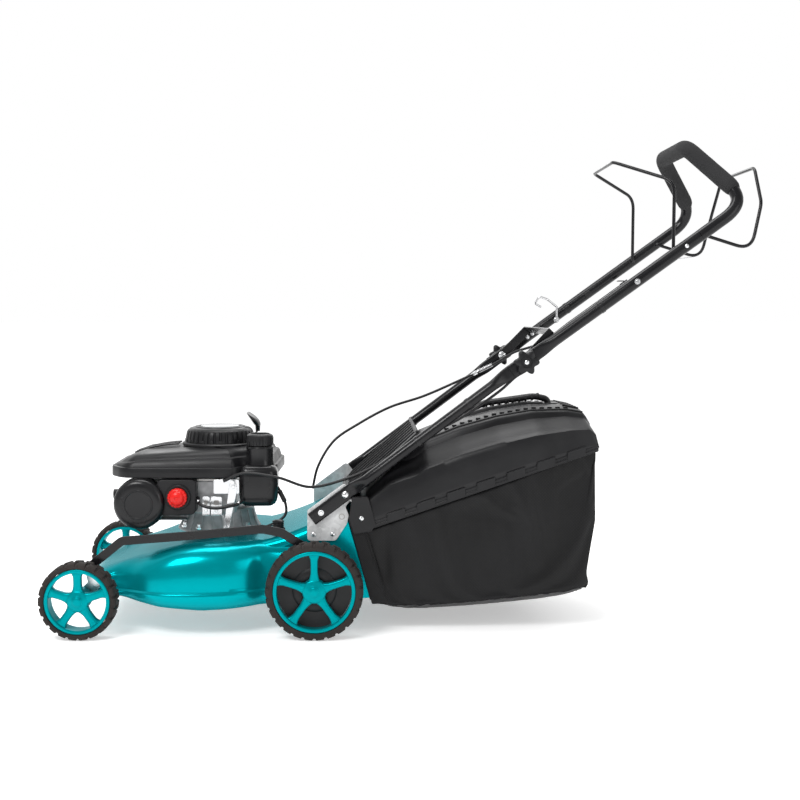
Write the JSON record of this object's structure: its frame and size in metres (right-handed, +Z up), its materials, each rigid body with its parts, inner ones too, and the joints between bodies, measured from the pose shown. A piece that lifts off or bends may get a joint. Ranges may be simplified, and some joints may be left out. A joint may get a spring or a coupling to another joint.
{
  "type": "lawn mower",
  "caption": "Walk-behind petrol lawn mower: pressed-steel deck on four wheels, top-mounted engine, folding tubular handle with two bails, and a rear grass bag.",
  "frame": {"origin": "on the ground, below the centre of the bounding box", "axes": "+X towards the rear, where the handle is, +Y to the mower's right side, +Z up"},
  "size_m": [1.4835, 0.52, 1.0289],
  "materials": {
    "deck_paint": "gloss teal enamel on pressed steel",
    "hub_plastic": "teal moulded plastic",
    "tyre": "dark treaded rubber",
    "engine_plastic": "black, lightly textured",
    "bag_plastic": "black moulded plastic",
    "bag_fabric": "black woven polyester",
    "black_paint": "black powder coat",
    "foam": "black closed-cell foam",
    "cable_sheath": "black flexible sheath",
    "aluminium": "cast aluminium",
    "zinc_steel": "galvanised steel",
    "bare_steel": "bare steel",
    "primer_red": "glossy red rubber"
  },
  "bodies": {
    "chassis": {"deck_shell": "deck_paint", "wash_port": "engine_plastic", "gearbox": "aluminium", "gearbox_pulley": "engine_plastic", "drive_belt": "cable_sheath", "engine_base": "aluminium", "engine_shroud": "engine_plastic", "recoil_housing": "engine_plastic", "fuel_tank": "engine_plastic", "air_filter_cover": "engine_plastic", "air_filter": "foam", "carburettor": "engine_plastic", "muffler": "bare_steel", "spark_plug_boot": "engine_plastic", "cable_bracket": "zinc_steel", "fuel_hose": "cable_sheath", "handle_bracket_left": "zinc_steel", "handle_bracket_right": "zinc_steel", "lower_handle_left": "black_paint", "lower_handle_right": "black_paint", "fold_bolt_left": "zinc_steel", "fold_bolt_right": "zinc_steel", "brake_cable_lower": "cable_sheath", "drive_cable_lower": "cable_sheath", "starter_rope": "cable_sheath"},
    "front_crank": {"front_axle": "zinc_steel"},
    "rear_crank": {"rear_axle": "zinc_steel"},
    "link": {"height_link": "black_paint"},
    "wheel_front_left": {"tyre_front_left": "tyre", "hub_front_left": "hub_plastic"},
    "wheel_front_right": {"tyre_front_right": "tyre", "hub_front_right": "hub_plastic"},
    "wheel_rear_left": {"tyre_rear_left": "tyre", "hub_rear_left": "hub_plastic"},
    "wheel_rear_right": {"tyre_rear_right": "tyre", "hub_rear_right": "hub_plastic"},
    "cutter": {"crankshaft": "bare_steel", "blade": "bare_steel", "blade_bolt": "zinc_steel", "flywheel": "aluminium"},
    "starter_drum": {"starter_pulley": "engine_plastic"},
    "pull_grip": {"starter_grip": "engine_plastic"},
    "cap": {"fuel_cap": "engine_plastic"},
    "primer": {"primer_bulb": "primer_red"},
    "brake": {"brake_lever": "zinc_steel"},
    "handle": {"upper_handle": "black_paint", "grip_foam": "foam", "cross_brace": "black_paint", "rope_guide": "zinc_steel", "brake_cable_upper": "cable_sheath", "drive_cable_upper": "cable_sheath"},
    "knob_l": {"knob_left": "engine_plastic"},
    "knob_r": {"knob_right": "engine_plastic"},
    "stop": {"stop_bail": "black_paint"},
    "drive": {"drive_bail": "black_paint"},
    "flap": {"rear_flap": "bag_plastic"},
    "bag": {"bag_lid": "bag_plastic", "bag_body": "bag_fabric", "bag_frame": "black_paint"}
  },
  "joints": [
    {"name": "front_height", "type": "hinge", "parent": "chassis", "child": "front_crank", "pos_m": [-0.63896, 0, 0.10404], "axis": [0, -1, 0], "range_deg": [-30, 10]},
    {"name": "rear_height", "type": "hinge", "parent": "chassis", "child": "rear_crank", "pos_m": [-0.15796, 0, 0.12404], "axis": [0, -1, 0], "range_deg": [-30, 10]},
    {"name": "link_pin", "type": "hinge", "parent": "front_crank", "child": "link", "pos_m": [-0.64707, -0.211, 0.14219], "axis": [0, -1, 0], "range_deg": [-10, 30]},
    {"name": "front_left_spin", "type": "hinge", "parent": "front_crank", "child": "wheel_front_left", "pos_m": [-0.663, -0.237, 0.08], "axis": [0, 1, 0], "continuous": true},
    {"name": "front_right_spin", "type": "hinge", "parent": "front_crank", "child": "wheel_front_right", "pos_m": [-0.663, 0.237, 0.08], "axis": [0, 1, 0], "continuous": true},
    {"name": "rear_left_spin", "type": "hinge", "parent": "rear_crank", "child": "wheel_rear_left", "pos_m": [-0.182, -0.237, 0.1], "axis": [0, 1, 0], "continuous": true},
    {"name": "rear_right_spin", "type": "hinge", "parent": "rear_crank", "child": "wheel_rear_right", "pos_m": [-0.182, 0.237, 0.1], "axis": [0, 1, 0], "continuous": true},
    {"name": "blade_spin", "type": "hinge", "parent": "chassis", "child": "cutter", "pos_m": [-0.4, 0, 0.2], "axis": [0, 0, 1], "continuous": true},
    {"name": "handle_fold", "type": "hinge", "parent": "chassis", "child": "handle", "pos_m": [0.248, 0, 0.565], "axis": [0, -1, 0], "range_deg": [0, 120], "deforming": ["brake_cable_lower", "brake_cable_upper", "drive_cable_lower", "drive_cable_upper"]},
    {"name": "stop_bail_turn", "type": "hinge", "parent": "handle", "child": "stop", "pos_m": [0.55229, 0, 0.78526], "axis": [0, 1, 0], "range_deg": [0, 34], "stiffness_Nm_per_rad": 0.6},
    {"name": "drive_bail_turn", "type": "hinge", "parent": "handle", "child": "drive", "pos_m": [0.60816, 0, 0.82569], "axis": [0, -1, 0], "range_deg": [0, 28], "stiffness_Nm_per_rad": 0.6},
    {"name": "brake_lever_turn", "type": "hinge", "parent": "chassis", "child": "brake", "pos_m": [-0.356, -0.1439, 0.3], "axis": [0, 1, 0], "range_deg": [0, 14], "stiffness_Nm_per_rad": 0.2},
    {"name": "knob_left_turn", "type": "hinge", "parent": "chassis", "child": "knob_l", "pos_m": [0.248, -0.215, 0.565], "axis": [0, 1, 0], "continuous": true},
    {"name": "knob_right_turn", "type": "hinge", "parent": "chassis", "child": "knob_r", "pos_m": [0.248, 0.215, 0.565], "axis": [0, 1, 0], "continuous": true},
    {"name": "rear_flap_lift", "type": "hinge", "parent": "chassis", "child": "flap", "pos_m": [-0.124, 0, 0.274], "axis": [0, -1, 0], "range_deg": [0, 30]},
    {"name": "bag_off", "type": "slide", "parent": "chassis", "child": "bag", "axis": [0.9397, 0, 0.342], "range_m": [0, 0.4]},
    {"name": "starter_pull", "type": "slide", "parent": "chassis", "child": "pull_grip", "axis": [0.8, 0, 0.6], "range_m": [0, 0.5], "stiffness_N_per_m": 10, "deforming": ["starter_rope"]},
    {"name": "starter_drum_turn", "type": "hinge", "parent": "chassis", "child": "starter_drum", "pos_m": [-0.4, 0, 0.389], "axis": [0, 0, -1], "range_deg": [0, 720]},
    {"name": "primer_press", "type": "slide", "parent": "chassis", "child": "primer", "axis": [0, 1, 0], "range_m": [0, 0.005], "stiffness_N_per_m": 400},
    {"name": "fuel_cap_turn", "type": "hinge", "parent": "chassis", "child": "cap", "pos_m": [-0.304, -0.088, 0.39], "axis": [0, 0, 1], "range_deg": [0, 120]}
  ],
  "couplings": [
    {"joint": "rear_height", "follows": "front_height", "ratio": 1},
    {"joint": "link_pin", "follows": "front_height", "ratio": -1},
    {"joint": "starter_drum_turn", "follows": "starter_pull", "rad_per_m": 23.8},
    {"joint": "brake_lever_turn", "follows": "stop_bail_turn", "ratio": 0.4}
  ]
}
